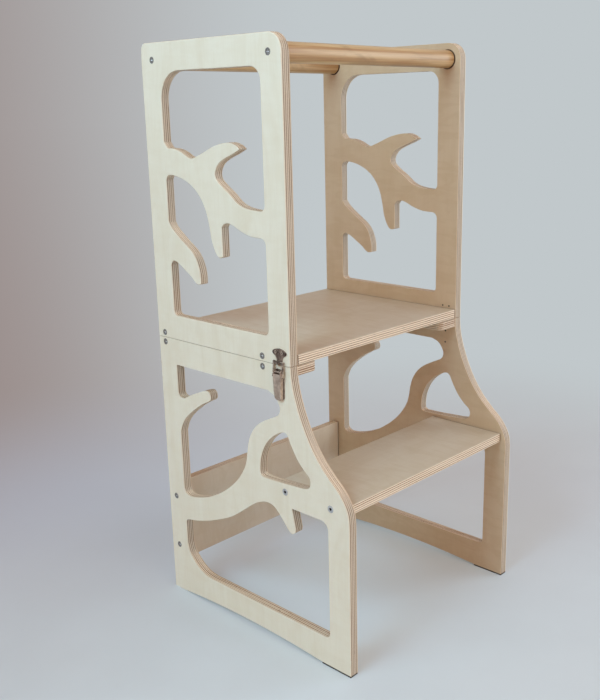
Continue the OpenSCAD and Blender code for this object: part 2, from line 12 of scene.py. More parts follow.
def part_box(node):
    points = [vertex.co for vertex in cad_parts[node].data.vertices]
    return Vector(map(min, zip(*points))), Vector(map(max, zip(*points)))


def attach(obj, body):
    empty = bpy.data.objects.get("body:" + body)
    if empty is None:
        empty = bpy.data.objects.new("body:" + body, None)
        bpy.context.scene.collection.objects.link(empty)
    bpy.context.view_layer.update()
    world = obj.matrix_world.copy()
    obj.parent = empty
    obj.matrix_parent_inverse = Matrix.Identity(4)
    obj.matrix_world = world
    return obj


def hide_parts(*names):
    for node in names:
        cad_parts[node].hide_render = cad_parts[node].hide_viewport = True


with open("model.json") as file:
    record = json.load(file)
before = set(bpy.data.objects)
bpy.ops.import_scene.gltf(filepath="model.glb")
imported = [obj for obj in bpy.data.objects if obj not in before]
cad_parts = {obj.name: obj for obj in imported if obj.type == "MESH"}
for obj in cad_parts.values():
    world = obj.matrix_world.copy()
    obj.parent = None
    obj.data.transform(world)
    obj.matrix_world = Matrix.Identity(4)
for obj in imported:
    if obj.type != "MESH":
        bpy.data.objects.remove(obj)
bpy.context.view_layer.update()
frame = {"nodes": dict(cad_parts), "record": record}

bl_info = {
    "name": "Learning Tower",
    "version": (1, 0, 0),
    "blender": (4, 5, 0),
    "location": "View3D > Sidebar > Learning Tower",
    "description": "Finishes the plywood, rails, latches and fasteners of a folding learning tower",
    "category": "Object",
}

NODES = frame["nodes"]
BODY_OF = {node: body for body, nodes in frame["record"]["behaviour"]["bodies"].items() for node in nodes}
AXES = X_AXIS, Y_AXIS, Z_AXIS = 0, 1, 2
LOW_END, HIGH_END = 0, 1
WHITE = (1.0, 1.0, 1.0)

# Meshes, in metres: corners that are merged, slivers that are closed, and how near the seam an edge lies on
# it. Faces within a flat angle are merged. Edges past the other two are eased, and shaded sharp.
MERGE_GAP, SLIVER, SEAM_GAP = 0.000003, 0.000004, 0.0002
FLAT_WOOD, FLAT_METAL = math.radians(0.6), math.radians(0.05)
EASED_ANGLE, SHARP_ANGLE = math.radians(32), math.radians(38)

# Digits to which the places of faces are compared
PLACE_DIGITS = 8

# A grain is noise with so many cells per metre across it and along it. It fades in from low to high, up to
# its share.
Grain = namedtuple("Grain", "across along detail rough twist low high share")

# Grains of a plywood face, and the tint of its darker streaks
BROAD_GRAIN = Grain(30.0, 7.0, 4.0, 0.55, 1.0, 0.36, 0.70, 0.30)
FINE_GRAIN = Grain(380.0, 16.0, 4.0, 0.6, 0.0, 0.45, 0.75, 0.16)
PORES = Grain(1500.0, 110.0, 1.0, 0.55, 0.0, 0.62, 0.80, 0.14)
FLAME = Grain(18.0, 60.0, 3.0, 0.55, 0.8, 0.42, 0.64, 1.0)
DULL_TINT = (0.86, 0.80, 0.71, 1.0)

# How many layers deep the face veneers reach, and the share of the thickness where one face's colour turns
# into the other's
FACE_DEPTH, MIDDLE = (0.25, 0.60), (0.4, 0.6)

# Grains of a plywood edge. The second number is for one layer, the way that the layers are stacked.
LAYER_TONE = Grain(7.0, 0.6, 2.0, 0.55, 0.0, 0.40, 0.64, 0.45)
LAYER_FIBRE = Grain(500.0, 1.5, 3.0, 0.65, 0.0, 0.35, 0.70, 1.0)
LAYER_GAPS = Grain(46.0, 1.0, 1.0, 0.5, 0.0, 0.725, 0.755, 1.0)
END_FIBRE_BAND = (0.32, 0.68)

# The share that is left of a colour in the pale fibres, the dark fibres, the small gaps and the painted
# shadow at a board's ends
LONG_FIBRE, END_FIBRE, GAP_SHADE, END_SHADOW_DIM = 0.93, 0.86, 0.70, 0.75

# How the layers wander, and where a pale and a dark one meet in each pair, with the glue line between them
WANDER_CELLS, WANDER = (34.0, 60.0), 0.55
CROSSED_BAND, SEAM_PLACE, SEAM_BAND, SEAM_SHARE = (0.57, 0.70), 0.63, (0.03, 0.11), 0.5

# Where an edge turns from one that runs along the face grain to one that cuts it, and how bright the two are.
# On the side panels the edges that cut the grain face up or down, and their lighter colour is a painted light
# from above. Also how much the flame figure shows on the inner and on the outer face.
TURNED_BAND = (0.25, 0.95)
PANEL_EDGE, BOARD_EDGE = (0.71, 1.11), (1.00, 1.00)
PANEL_FIGURE, BOARD_FIGURE = (0.36, 0.12), (0.36, 0.36)

# Painted shadow of the gaps between parts: how far it reaches, in metres, from a board's ends, from a rail
# in its pocket and from a rail's ends. At a board's ends it shows up to its share.
END_SHADOW_BAND, END_SHADOW_SHARE = (0.0024, 0.0010), 0.9
POCKET_SHADOW_BAND, POCKET_SHADOW_WANDER = (0.0012, 0.0019), 0.0015
RAIL_END_SHADOW_BAND = (0.0020, 0.0006)

# Gloss of the wood, and what adds to its relief, whose depth is in metres
FACE_ROUGHNESS, EDGE_ROUGHER, GRAIN_ROUGHER = 0.42, 0.16, 0.14
GRAIN_RELIEF, CUT_RELIEF, SEAM_RELIEF, WOOD_RELIEF = 0.5, -0.35, -0.8, 0.00008

# Oiled rails: long streaks, broad and fine marks, gloss and relief
RAIL_LONG = Grain(110.0, 3.0, 4.0, 0.6, 0.4, 0.36, 0.68, 1.0)
RAIL_BROAD = Grain(26.0, 8.0, 3.0, 0.55, 1.4, 0.50, 0.72, 0.35)
RAIL_FINE = Grain(800.0, 14.0, 3.0, 0.6, 0.0, 0.52, 0.74, 0.40)
RAIL_DEEP, RAIL_ROUGHNESS, RAIL_ROUGHER, FINE_RELIEF = 0.72, 0.40, 0.12, 0.00004
OIL_COAT, OIL_ROUGHNESS = 0.3, 0.42

# Plated metal: patches, rubbing marks, and a painted rim shadow and painted recess glint below the wood's
# face
PATCH_BAND, PATCH_ROUGHER = (0.34, 0.66), 0.22
RUBBED_CELLS, RUBBED_BAND, RUBBED_SHARE, RUBBED_ROUGHER = (900.0, 2600.0, 500.0), (0.5, 0.75), 0.3, 0.12
RIM_BAND, RECESS_BAND, RIM_SHADOW = (0.0003, 0.00005), (0.0009, 0.0004), 0.22

# Rubber with a fine crumb and dust
CRUMB_CELLS = (1500.0, 1500.0, 1500.0)
DUST = Grain(90.0, 90.0, 3.0, 0.6, 0.0, 0.45, 0.75, 0.4)
DUST_GAIN, DUST_LIFT = 1.9, 0.04
RUBBER_ROUGHNESS, RUBBER_ROUGHER, RUBBER_RELIEF = 0.7, 0.2, 0.0002

# The photograph's camera, fitted to the tower's corners
VIEW_AZIMUTH = math.radians(-46.9934)
VIEW_ELEVATION = math.radians(14.964)
VIEW_ROLL = math.radians(-0.9586)
VIEW_PLACE = (-1.0653045, -0.9776502, 0.8032534)
VIEW_LENS, VIEW_SENSOR, VIEW_SHIFT, VIEW_REACH = 46.693, 36.0, -30 / 700, 200.0

# The floor's half width and the bands over which it fades, in metres from the tower
FLOOR_HALF = 40.0
# The floor is made darker behind the tower and to its left, a painted shade
FAR_BAND, LEFT_BAND, LEFT_SHARES = (-0.35, 0.45), (0.0, 0.8), (0.3, 1.0)
# Near the tower a quarter of the floor that is seen is a painted glow of the background's colour, which
# lightens its shadows
GLOW_BAND, GLOW_SHARES = (0.55, 1.6), (0.25, 1.0)
FLOOR_SOFT = Grain(3.0, 3.0, 4.0, 0.6, 0.0, 0.3, 0.7, 1.0)
FLOOR_WORN, FLOOR_ROUGHNESS, FLOOR_ROUGHER = 0.975, 0.55, 0.1
FLOOR_RELIEF, FLOOR_STRENGTH = 0.0002, 0.05

# Where the background turns from its left to its right colour, and where it turns pale again, out of the
# photograph's view at the far left
RIGHT_BAND, BEHIND_BAND, BEHIND_SHARE = (-0.48, 0.0), (-0.95, -0.55), 0.8


def size(name, default, description, **limits):
    """A length in metres that a user may change."""
    return FloatProperty(name=name, default=default, description=description, unit="LENGTH", precision=4,
                         **limits)


def colour(name, red, green, blue, description):
    """A colour, given in the steps of 0 to 255 that a colour card uses."""
    return FloatVectorProperty(name=name, default=(red / 255, green / 255, blue / 255), min=0.0, max=1.0,
                               description=description, subtype="COLOR_GAMMA")


def lamp_power(name, default, description):
    """A lamp's power in watts."""
    return FloatProperty(name=name, default=default, min=0.0, description=description, unit="POWER")


class TowerSizes(bpy.types.PropertyGroup):
    """How far the edges are eased, and how the plywood is laid up."""
    panel_ease: size("Panel Edges", 0.0016, "How far the routed edges of the side panels are rounded")
    board_ease: size("Board Edges", 0.0009, "How far the edges of the platform, step and boards are rounded")
    seam_ease: size("Seam Edges", 0.0003, "How far the edges are rounded where the two halves meet")
    metal_ease: size("Metal Edges", 0.0002, "How far the edges of the hinges and latches are rounded")
    head_ease: size("Screw Heads", 0.0003, "How far the rims and recesses of the screw heads are rounded")
    wire_ease: size("Bail Edges", 0.00035, "How far the edges of the bails are rounded")
    pad_ease: size("Pad Edges", 0.0005, "How far the edges of the foot pads are rounded")
    hole_limit: size("Small Loops", 0.12, "Loops of edges shorter than this are holes, and stay crisp")
    layers: IntProperty(name="Plywood Layers", default=9, min=3, max=21,
                        description="Number of veneers that the plywood is glued from")


class TowerColours(bpy.types.PropertyGroup):
    """Colours of the woods and metals."""
    # The outer and inner faces are lit and shaded copies of one birch veneer: the inner faces are darker and
    # warmer, a painted shade of the left panel's shadow and the warm light bounced inside the tower
    outer_face: colour("Outer Faces", 240, 233, 212, "Lacquered outer veneer of the side panels")
    inner_face_shaded: colour("Inner Faces", 213, 190, 158, "Inner veneer of the side panels")
    board_face: colour("Board Faces", 205, 194, 174, "Faces of the platform, step, rear board and cleats")
    long_grain: colour("Long Grain", 244, 232, 208, "Layers whose grain runs along the edge")
    end_grain: colour("End Grain", 152, 118, 86, "Layers that show their end grain at the edge")
    glue: colour("Glue Lines", 104, 76, 52, "Thin lines between the layers, and small gaps in them")
    rail_light: colour("Rail, Light", 208, 180, 134, "Light streaks of the round rails")
    rail_dark: colour("Rail, Dark", 166, 126, 78, "Dark streaks of the round rails")
    # Painted shadow of the gaps around the rails, at the rims of their pockets and at the rails' ends
    gap_shadow: colour("Charred Rims", 70, 47, 32, "Rims of the pockets that hold the rails")
    zinc: colour("Zinc", 160, 154, 148, "Countersunk screws and hinge screws")
    nickel: colour("Nickel", 214, 214, 214, "Bolts of the step and the hinges")
    bronze_light: colour("Bronze, Light", 228, 208, 190, "Rubbed parts of the latches")
    bronze_middle: colour("Bronze, Middle", 178, 157, 142, "Worn parts of the latches")
    bronze_dark: colour("Bronze, Dark", 92, 74, 66, "Dark parts of the latches")
    rubber: colour("Rubber", 44, 36, 32, "Pads under the front feet")


class TowerStage(bpy.types.PropertyGroup):
    """Floor, light and background."""
    floor: colour("Floor", 216, 230, 237, "Plain floor")
    # Painted shade: the plain floor made darker behind the tower and to its left
    floor_far_shaded: colour("Floor, Far", 204, 221, 240, "Plain floor at the far left of the photograph's view")
    far_left: colour("Background, Left", 152, 138, 135, "Background at the left of the photograph's view")
    far_right: colour("Background, Right", 193, 200, 203, "Background at the right of the photograph's view")
    sky: colour("Sky", 255, 197, 168, "Soft light from all round")
    sky_strength: FloatProperty(name="Sky Strength", default=0.42, min=0.0,
                                description="Strength of the light from all round")
    side_power: lamp_power("Side Lamp", 23.5, "Power of the large lamp at the left")
    high_power: lamp_power("High Lamp", 9.6, "Power of the small lamp at the upper left")
    front_power: lamp_power("Front Lamp", 26.3, "Power of the lamp in front")
    right_power: lamp_power("Right Lamp", 41.9, "Power of the lamp at the front right")
    top_power: lamp_power("Top Lamp", 8.0, "Power of the lamp overhead")


def linear(shade):
    """A colour card's shade as the linear colour that a shader takes, with full alpha."""
    return tuple(c / 12.92 if c <= 0.04045 else ((c + 0.055) / 1.055) ** 2.4 for c in shade) + (1.0,)


def dimmed(shade, factor):
    """A colour card's shade made darker by a factor."""
    return [c * factor for c in shade]


def add(tree, kind, inputs=None, **settings):
    """Adds one shader node. Inputs are values or sockets, by number or name."""
    made = tree.nodes.new(kind)
    for key, value in settings.items():
        setattr(made, key, value)
    for key, value in (inputs or {}).items():
        if isinstance(value, bpy.types.NodeSocket):
            tree.links.new(value, made.inputs[key])
        else:
            made.inputs[key].default_value = value
    return made


def work(tree, operation, first, second=0.0, third=0.0):
    """The result of one sum."""
    return add(tree, "ShaderNodeMath", {0: first, 1: second, 2: third}, operation=operation).outputs[0]


def times(tree, first, second):
    """Two values multiplied."""
    return work(tree, "MULTIPLY", first, second)


def minus(tree, first, second):
    """The second value taken from the first."""
    return work(tree, "SUBTRACT", first, second)


def scaled_sum(tree, first, factor, second):
    """The first value times a factor, plus the second."""
    return work(tree, "MULTIPLY_ADD", first, factor, second)


def unsigned(tree, value):
    """A value without its sign."""
    return work(tree, "ABSOLUTE", value)


def parts_of(tree, vector):
    """The three parts of a vector."""
    return add(tree, "ShaderNodeSeparateXYZ", {0: vector}).outputs


def fade(tree, value, low, high, start=0.0, end=1.0):
    """A smooth step from start at low to end at high."""
    made = add(tree, "ShaderNodeMapRange", {0: value, 1: low, 2: high, 3: start, 4: end},
               interpolation_type="SMOOTHSTEP")
    return made.outputs[0]


def blend(tree, amount, first, second, way="MIX"):
    """Two colours mixed."""
    made = add(tree, "ShaderNodeMix", data_type="RGBA", blend_type=way)
    for number, value in ((0, amount), (6, first), (7, second)):
        if isinstance(value, bpy.types.NodeSocket):
            tree.links.new(value, made.inputs[number])
        else:
            made.inputs[number].default_value = value
    return made.outputs[2]


def streaks(tree, place, cells, detail=3.0, rough=0.55, twist=0.0):
    """Noise with so many cells per metre along each axis."""
    spread = add(tree, "ShaderNodeMapping", {0: place, 3: cells})
    return add(tree, "ShaderNodeTexNoise", {"Vector": spread.outputs[0], "Scale": 1.0, "Detail": detail,
                                            "Roughness": rough, "Distortion": twist}).outputs[0]


def cells_along(axis, across, along):
    """Cells per metre of a grain that runs along one axis."""
    return tuple(along if number == axis else across for number in AXES)


def grained(tree, place, axis, grain, per_metre=1.0):
    """The noise of a grain that runs along one axis, and how far it shows."""
    cells = cells_along(axis, grain.across, grain.along * per_metre)
    noise = streaks(tree, place, cells, grain.detail, grain.rough, grain.twist)
    return noise, fade(tree, noise, grain.low, grain.high, 0.0, grain.share)


def new_material(name):
    """An empty material with its tree, its shader and its Object coordinates."""
    material = bpy.data.materials.new(name)
    material.use_nodes = True
    tree = material.node_tree
    place = add(tree, "ShaderNodeTexCoord").outputs["Object"]
    return material, tree, tree.nodes["Principled BSDF"], place


def finish(tree, shader, shade, roughness, height, distance, strength=0.4):
    """Joins the colour, the roughness and a fine relief to the shader."""
    tree.links.new(shade, shader.inputs["Base Color"])
    tree.links.new(roughness, shader.inputs["Roughness"])
    relief = add(tree, "ShaderNodeBump", {"Strength": strength, "Distance": distance, "Height": height})
    tree.links.new(relief.outputs[0], shader.inputs["Normal"])


def plywood_layers(tree, level, inside, wave):
    """Where the layers that run crosswise are, and where the glue lines between the layers are."""
    wavy = scaled_sum(tree, times(tree, wave, inside), WANDER, level)
    beat = work(tree, "PINGPONG", minus(tree, wavy, 0.5), 1.0)
    crossed = times(tree, fade(tree, beat, *CROSSED_BAND), inside)
    from_seam = unsigned(tree, minus(tree, beat, SEAM_PLACE))
    return crossed, times(tree, fade(tree, from_seam, *SEAM_BAND, 1.0, 0.0), inside)


def cut_layers(tree, along, crossed):
    """How far an edge is turned across the face grain, and where the layers show their end grain."""
    shape = add(tree, "ShaderNodeTexCoord").outputs["Normal"]
    turned = fade(tree, unsigned(tree, parts_of(tree, shape)[along]), *TURNED_BAND)
    cut = work(tree, "ADD", times(tree, crossed, minus(tree, 1.0, turned)),
               times(tree, minus(tree, 1.0, crossed), turned))
    return turned, cut


def veneer_shade(tree, place, along, level, layers, faces, figures):
    """The colour of the two face veneers, and their fine grain."""
    middle = [layers * share for share in MIDDLE]
    low, high = (linear(face) for face in faces)
    face = blend(tree, fade(tree, level, *middle), low, high)
    dull = blend(tree, 1.0, face, DULL_TINT, "MULTIPLY")
    broad_amount = grained(tree, place, along, BROAD_GRAIN)[1]
    fine, fine_amount = grained(tree, place, along, FINE_GRAIN)
    pore_amount = grained(tree, place, along, PORES)[1]
    flame_amount = grained(tree, place, along, FLAME)[1]
    figure = times(tree, flame_amount, fade(tree, level, *middle, *figures))
    shade = face
    for amount in (broad_amount, fine_amount, pore_amount, figure):
        shade = blend(tree, amount, shade, dull)
    return shade, fine


def edge_shade(tree, place, across, per_metre, crossed, seam, cut):
    """The colour of the layers at an edge, and where the crosswise ones have small gaps."""
    colours = bpy.context.scene.tower_colours
    tone = grained(tree, place, across, LAYER_TONE, per_metre)[1]
    fibre, pale_fibre = grained(tree, place, across, LAYER_FIBRE, per_metre)
    gaps = grained(tree, place, across, LAYER_GAPS, per_metre)[1]
    pale = blend(tree, pale_fibre, linear(colours.long_grain), linear(dimmed(colours.long_grain, LONG_FIBRE)))
    dark = blend(tree, fade(tree, fibre, *END_FIBRE_BAND), linear(colours.end_grain),
                 linear(dimmed(colours.end_grain, END_FIBRE)))
    dark = blend(tree, tone, dark, pale)
    shade = blend(tree, cut, pale, dark)
    shade = blend(tree, times(tree, seam, SEAM_SHARE), shade, linear(colours.glue))
    hollow = times(tree, gaps, crossed)
    return blend(tree, hollow, shade, linear(dimmed(colours.glue, GAP_SHADE))), hollow


def pocket_rim_shadow(tree, parts, pocket, wave):
    """Where the rim of a rail's pocket is, which gets a painted shadow of the gap around the rail."""
    along_y, up, radius = pocket
    aside, over = (minus(tree, parts[axis], centre) for axis, centre in ((Y_AXIS, along_y), (Z_AXIS, up)))
    far = work(tree, "SQRT", scaled_sum(tree, aside, aside, times(tree, over, over)))
    inner, outer = (radius + reach for reach in POCKET_SHADOW_BAND)
    return fade(tree, scaled_sum(tree, wave, POCKET_SHADOW_WANDER, far), inner, outer, 1.0, 0.0)


def plywood(name, across, along, start, thickness, faces, figures, facing_light, mirrored=False, pockets=(),
            ends=0.0):
    """Plywood laid up across one axis from start, with its face grain along another. The rims of the pockets
    and the ends get a painted shadow of the gaps there."""
    colours, layers = bpy.context.scene.tower_colours, bpy.context.scene.tower_sizes.layers
    material, tree, shader, place = new_material(name)
    parts = parts_of(tree, place)
    depth = unsigned(tree, parts[across]) if mirrored else parts[across]
    per_metre = layers / thickness
    level = times(tree, minus(tree, depth, start), per_metre)
    inside = times(tree, fade(tree, level, *FACE_DEPTH),
                   fade(tree, level, *(layers - distance for distance in FACE_DEPTH)))
    wave = minus(tree, streaks(tree, place, cells_along(across, *WANDER_CELLS), 2.0), 0.5)
    crossed, seam = plywood_layers(tree, level, inside, wave)
    turned, cut = cut_layers(tree, along, crossed)
    veneer, fine = veneer_shade(tree, place, along, level, layers, faces, figures)
    edge, hollow = edge_shade(tree, place, across, per_metre, crossed, seam, cut)
    # Edges are made lighter or darker by the way they face; on the side panels this is a painted light from
    # above
    edge = blend(tree, 1.0, edge, fade(tree, turned, 0.0, 1.0, *facing_light), "MULTIPLY")
    shade = blend(tree, inside, veneer, edge)
    if ends > 0:
        # Painted shadow of the gap between the board's ends and the side panels
        band = [ends - distance for distance in END_SHADOW_BAND]
        end_shadow = fade(tree, unsigned(tree, parts[X_AXIS]), *band, 0.0, END_SHADOW_SHARE)
        shade = blend(tree, end_shadow, shade, linear(dimmed(colours.glue, END_SHADOW_DIM)))
    # Painted shadow of the gap around each rail, on the rim of its pocket in the inner half
    for pocket in pockets:
        inner_half = work(tree, "LESS_THAN", level, layers * MIDDLE[1])
        rim = times(tree, pocket_rim_shadow(tree, parts, pocket, wave), inner_half)
        shade = blend(tree, rim, shade, linear(colours.gap_shadow))
    rough = scaled_sum(tree, fine, GRAIN_ROUGHER, scaled_sum(tree, inside, EDGE_ROUGHER, FACE_ROUGHNESS))
    relief = work(tree, "ADD", times(tree, fine, GRAIN_RELIEF), times(tree, cut, CUT_RELIEF))
    relief = scaled_sum(tree, work(tree, "MAXIMUM", seam, hollow), SEAM_RELIEF, relief)
    finish(tree, shader, shade, rough, relief, WOOD_RELIEF)
    return material


def rail_wood(name, ends):
    """Oiled round wood with long streaks, and a painted shadow where each end leaves its pocket."""
    colours = bpy.context.scene.tower_colours
    material, tree, shader, place = new_material(name)
    long, long_amount = grained(tree, place, X_AXIS, RAIL_LONG)
    broad_amount = grained(tree, place, X_AXIS, RAIL_BROAD)[1]
    fine, fine_amount = grained(tree, place, X_AXIS, RAIL_FINE)
    deep = linear(dimmed(colours.rail_dark, RAIL_DEEP))
    shade = blend(tree, long_amount, linear(colours.rail_light), linear(colours.rail_dark))
    shade = blend(tree, broad_amount, shade, deep)
    shade = blend(tree, fine_amount, shade, deep)
    out = unsigned(tree, parts_of(tree, place)[X_AXIS])
    # Painted shadow where the rail leaves its pocket
    end = fade(tree, out, *(ends - reach for reach in RAIL_END_SHADOW_BAND))
    shade = blend(tree, end, shade, linear(colours.gap_shadow))
    rough = scaled_sum(tree, fine, RAIL_ROUGHER, RAIL_ROUGHNESS)
    finish(tree, shader, shade, rough, work(tree, "ADD", long, fine), FINE_RELIEF)
    shader.inputs["Coat Weight"].default_value = OIL_COAT
    shader.inputs["Coat Roughness"].default_value = OIL_ROUGHNESS
    return material


def plated(name, light, dark, roughness, mottle, metal=1.0, flush=0.0, glint=0.0):
    """Plated steel: two shades in patches, rubbing marks and a grainy gloss. Below flush the rim gets a
    painted shadow, and a recess shows a painted glint."""
    material, tree, shader, place = new_material(name)
    patches = streaks(tree, place, (mottle, mottle, mottle), 4.0, 0.6, 0.4)
    rubbed = streaks(tree, place, RUBBED_CELLS, 3.0, 0.6)
    shade = blend(tree, fade(tree, patches, *PATCH_BAND), linear(light), linear(dark))
    shade = blend(tree, fade(tree, rubbed, *RUBBED_BAND, 0.0, RUBBED_SHARE), shade, linear(light))
    if flush > 0:
        out = unsigned(tree, parts_of(tree, place)[X_AXIS])
        # Painted shadow at the rim of a head that sits flush
        rim = fade(tree, out, *(flush - reach for reach in RIM_BAND), 1.0, 0.0)
        shade = blend(tree, rim, shade, linear(dimmed(dark, RIM_SHADOW)))
        # Painted glint in the recess, which is also made less metallic
        recess = fade(tree, out, *(flush - reach for reach in RECESS_BAND), glint, 0.0)
        shade = blend(tree, recess, shade, linear(WHITE))
    rough = scaled_sum(tree, patches, PATCH_ROUGHER, scaled_sum(tree, rubbed, RUBBED_ROUGHER, roughness))
    finish(tree, shader, shade, rough, rubbed, FINE_RELIEF)
    shader.inputs["Metallic"].default_value = metal
    if glint > 0:
        tree.links.new(fade(tree, recess, 0.0, 1.0, metal, 0.0), shader.inputs["Metallic"])
    return material


def rubber(name):
    """Dull dark rubber with a fine crumb and dusty patches."""
    shade = bpy.context.scene.tower_colours.rubber
    material, tree, shader, place = new_material(name)
    crumb = streaks(tree, place, CRUMB_CELLS, 3.0, 0.7)
    dust = grained(tree, place, X_AXIS, DUST)[1]
    dusty = linear([min(1.0, c * DUST_GAIN + DUST_LIFT) for c in shade])
    rough = scaled_sum(tree, crumb, RUBBER_ROUGHER, RUBBER_ROUGHNESS)
    finish(tree, shader, blend(tree, dust, linear(shade), dusty), rough, crumb, RUBBER_RELIEF)
    return material


def loops_of(edges):
    """Edges that share corners, as groups with their total length. A dictionary keeps them in order."""
    todo, groups = dict.fromkeys(edges), []
    while todo:
        first = todo.popitem()[0]
        group, reach = [first], [first]
        while reach:
            edge = reach.pop()
            for corner in edge.verts:
                for other in corner.link_edges:
                    if other in todo:
                        del todo[other]
                        group.append(other)
                        reach.append(other)
        groups.append((group, sum(edge.calc_length() for edge in group)))
    return groups


def round_off(shape, edges, width, segments):
    """Rounds edges over by a width."""
    if edges and width > 0:
        bmesh.ops.bevel(shape, geom=edges, offset=width, offset_type="OFFSET", segments=segments, profile=0.5,
                        affect="EDGES", clamp_overlap=True, material=-1, loop_slide=True)


def sharp_edges(shape):
    """Edges where two faces meet at an angle large enough to be eased."""
    return [edge for edge in shape.edges
            if len(edge.link_faces) == 2 and edge.calc_face_angle(0.0) > EASED_ANGLE]


def face_place(face):
    """A face's middle and area."""
    return tuple(round(value, PLACE_DIGITS) for value in (*face.calc_center_median(), face.calc_area()))


def sort_faces(shape):
    """Lists the faces by their places. Closing slivers leaves them in an order that changes between runs."""
    order = {face: number for number, face in enumerate(sorted(shape.faces, key=face_place))}
    shape.faces.sort(key=order.get)


def eased(node, material, width, segments=3, hole_limit=0.0, seam=None, seam_width=0.0, flat=FLAT_WOOD):
    """A merged copy of one node with its edges rounded and its own material, on the node's body."""
    mesh = NODES[node].data.copy()
    mesh.name = node + "_finished"
    shape = bmesh.new()
    shape.from_mesh(mesh)
    bmesh.ops.remove_doubles(shape, verts=shape.verts, dist=MERGE_GAP)
    bmesh.ops.dissolve_limit(shape, angle_limit=flat, use_dissolve_boundaries=False, verts=shape.verts,
                             edges=shape.edges)
    wide, narrow = [], []
    for group, length in loops_of(sharp_edges(shape)):
        if length < hole_limit:
            continue
        for edge in group:
            at_seam = seam is not None and all(abs(corner.co.z - seam) < SEAM_GAP for corner in edge.verts)
            (narrow if at_seam else wide).append(edge)
    round_off(shape, narrow, seam_width, segments=1)
    round_off(shape, [edge for edge in wide if edge.is_valid], width, segments)
    bmesh.ops.dissolve_degenerate(shape, edges=shape.edges, dist=SLIVER)
    sort_faces(shape)
    shape.to_mesh(mesh)
    shape.free()
    mesh.materials.clear()
    mesh.materials.append(material)
    for face in mesh.polygons:
        face.use_smooth = True
        face.material_index = 0
    mesh.set_sharp_from_angle(angle=SHARP_ANGLE)
    piece = bpy.data.objects.new(node + "_piece", mesh)
    bpy.context.scene.collection.objects.link(piece)
    even = piece.modifiers.new("Even Shading", "WEIGHTED_NORMAL")
    even.keep_sharp = True
    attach(piece, BODY_OF[node])
    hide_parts(node)


def span(node, axis):
    """Where a node starts along an axis, and how far it reaches."""
    low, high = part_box(node)
    return low[axis], high[axis] - low[axis]


def rail_pocket(rail):
    """Where a rail's middle is along Y and Z, and its radius."""
    low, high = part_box(rail)
    along_y, up = ((low[axis] + high[axis]) / 2 for axis in (Y_AXIS, Z_AXIS))
    return along_y, up, (high[Z_AXIS] - low[Z_AXIS]) / 2


def panel_material():
    """One plywood for all four side panels: the layers count from the inner faces outwards."""
    made = bpy.data.materials.get("panel_plywood")
    if made:
        return made
    colours = bpy.context.scene.tower_colours
    inner, thickness = span("lower_panel_right", X_AXIS)
    pockets = [rail_pocket(rail) for rail in ("front_rail", "rear_rail")]
    return plywood("panel_plywood", X_AXIS, Z_AXIS, inner, thickness,
                   # The inner faces carry painted shade, darker and warmer than the outer faces
                   (colours.inner_face_shaded, colours.outer_face), PANEL_FIGURE, PANEL_EDGE,
                   mirrored=True, pockets=pockets)


def panels(scene, nodes, seam_end):
    """Two mirrored side panels. Edges at the end of their box that meets the other half are rounded less."""
    sizes = scene.tower_sizes
    for node in nodes:
        eased(node, panel_material(), sizes.panel_ease, hole_limit=sizes.hole_limit,
              seam=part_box(node)[seam_end][Z_AXIS], seam_width=sizes.seam_ease)


def board(scene, node, across, along):
    """One plywood board, with its layers stacked across one axis and its face grain along another."""
    face = scene.tower_colours.board_face
    start, thickness = span(node, across)
    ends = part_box(node)[HIGH_END][X_AXIS] if along == X_AXIS else 0.0
    wood = plywood(node + "_plywood", across, along, start, thickness, (face, face), BOARD_FIGURE, BOARD_EDGE,
                   ends=ends)
    eased(node, wood, scene.tower_sizes.board_ease, segments=2, hole_limit=scene.tower_sizes.hole_limit)


def metal_pieces(nodes, material, width):
    """Screws, pins and fittings with their edges rounded."""
    for node in nodes:
        eased(node, material, width, segments=2, flat=FLAT_METAL)


def latch_bronze(scene, name, shades, roughness, mottle, flush=0.0):
    """Rubbed bronze plate for the latches."""
    light, dark = (getattr(scene.tower_colours, shade) for shade in shades)
    return plated(name, light, dark, roughness, mottle, metal=0.75, flush=flush)


class TOWER_OT_upper_panels(bpy.types.Operator):
    """Round the edges of the two upper side panels and give them their plywood"""
    bl_idname = "tower.upper_panels"
    bl_label = "Upper Panels"

    def execute(self, context):
        panels(context.scene, ("upper_panel_left", "upper_panel_right"), LOW_END)
        return {"FINISHED"}


class TOWER_OT_lower_panels(bpy.types.Operator):
    """Round the edges of the two lower side panels and give them their plywood"""
    bl_idname = "tower.lower_panels"
    bl_label = "Lower Panels"

    def execute(self, context):
        panels(context.scene, ("lower_panel_left", "lower_panel_right"), HIGH_END)
        return {"FINISHED"}


class TOWER_OT_platform(bpy.types.Operator):
    """Finish the platform"""
    bl_idname = "tower.platform"
    bl_label = "Platform"

    def execute(self, context):
        board(context.scene, "platform", Z_AXIS, X_AXIS)
        return {"FINISHED"}


class TOWER_OT_step_board(bpy.types.Operator):
    """Finish the step"""
    bl_idname = "tower.step_board"
    bl_label = "Step"

    def execute(self, context):
        board(context.scene, "step_board", Z_AXIS, X_AXIS)
        return {"FINISHED"}


class TOWER_OT_rear_board(bpy.types.Operator):
    """Finish the board low at the back"""
    bl_idname = "tower.rear_board"
    bl_label = "Rear Board"

    def execute(self, context):
        board(context.scene, "rear_board", Y_AXIS, X_AXIS)
        return {"FINISHED"}


class TOWER_OT_cleats(bpy.types.Operator):
    """Finish the two cleats under the platform"""
    bl_idname = "tower.cleats"
    bl_label = "Cleats"

    def execute(self, context):
        for node in ("cleat_left", "cleat_right"):
            board(context.scene, node, Z_AXIS, Y_AXIS)
        return {"FINISHED"}


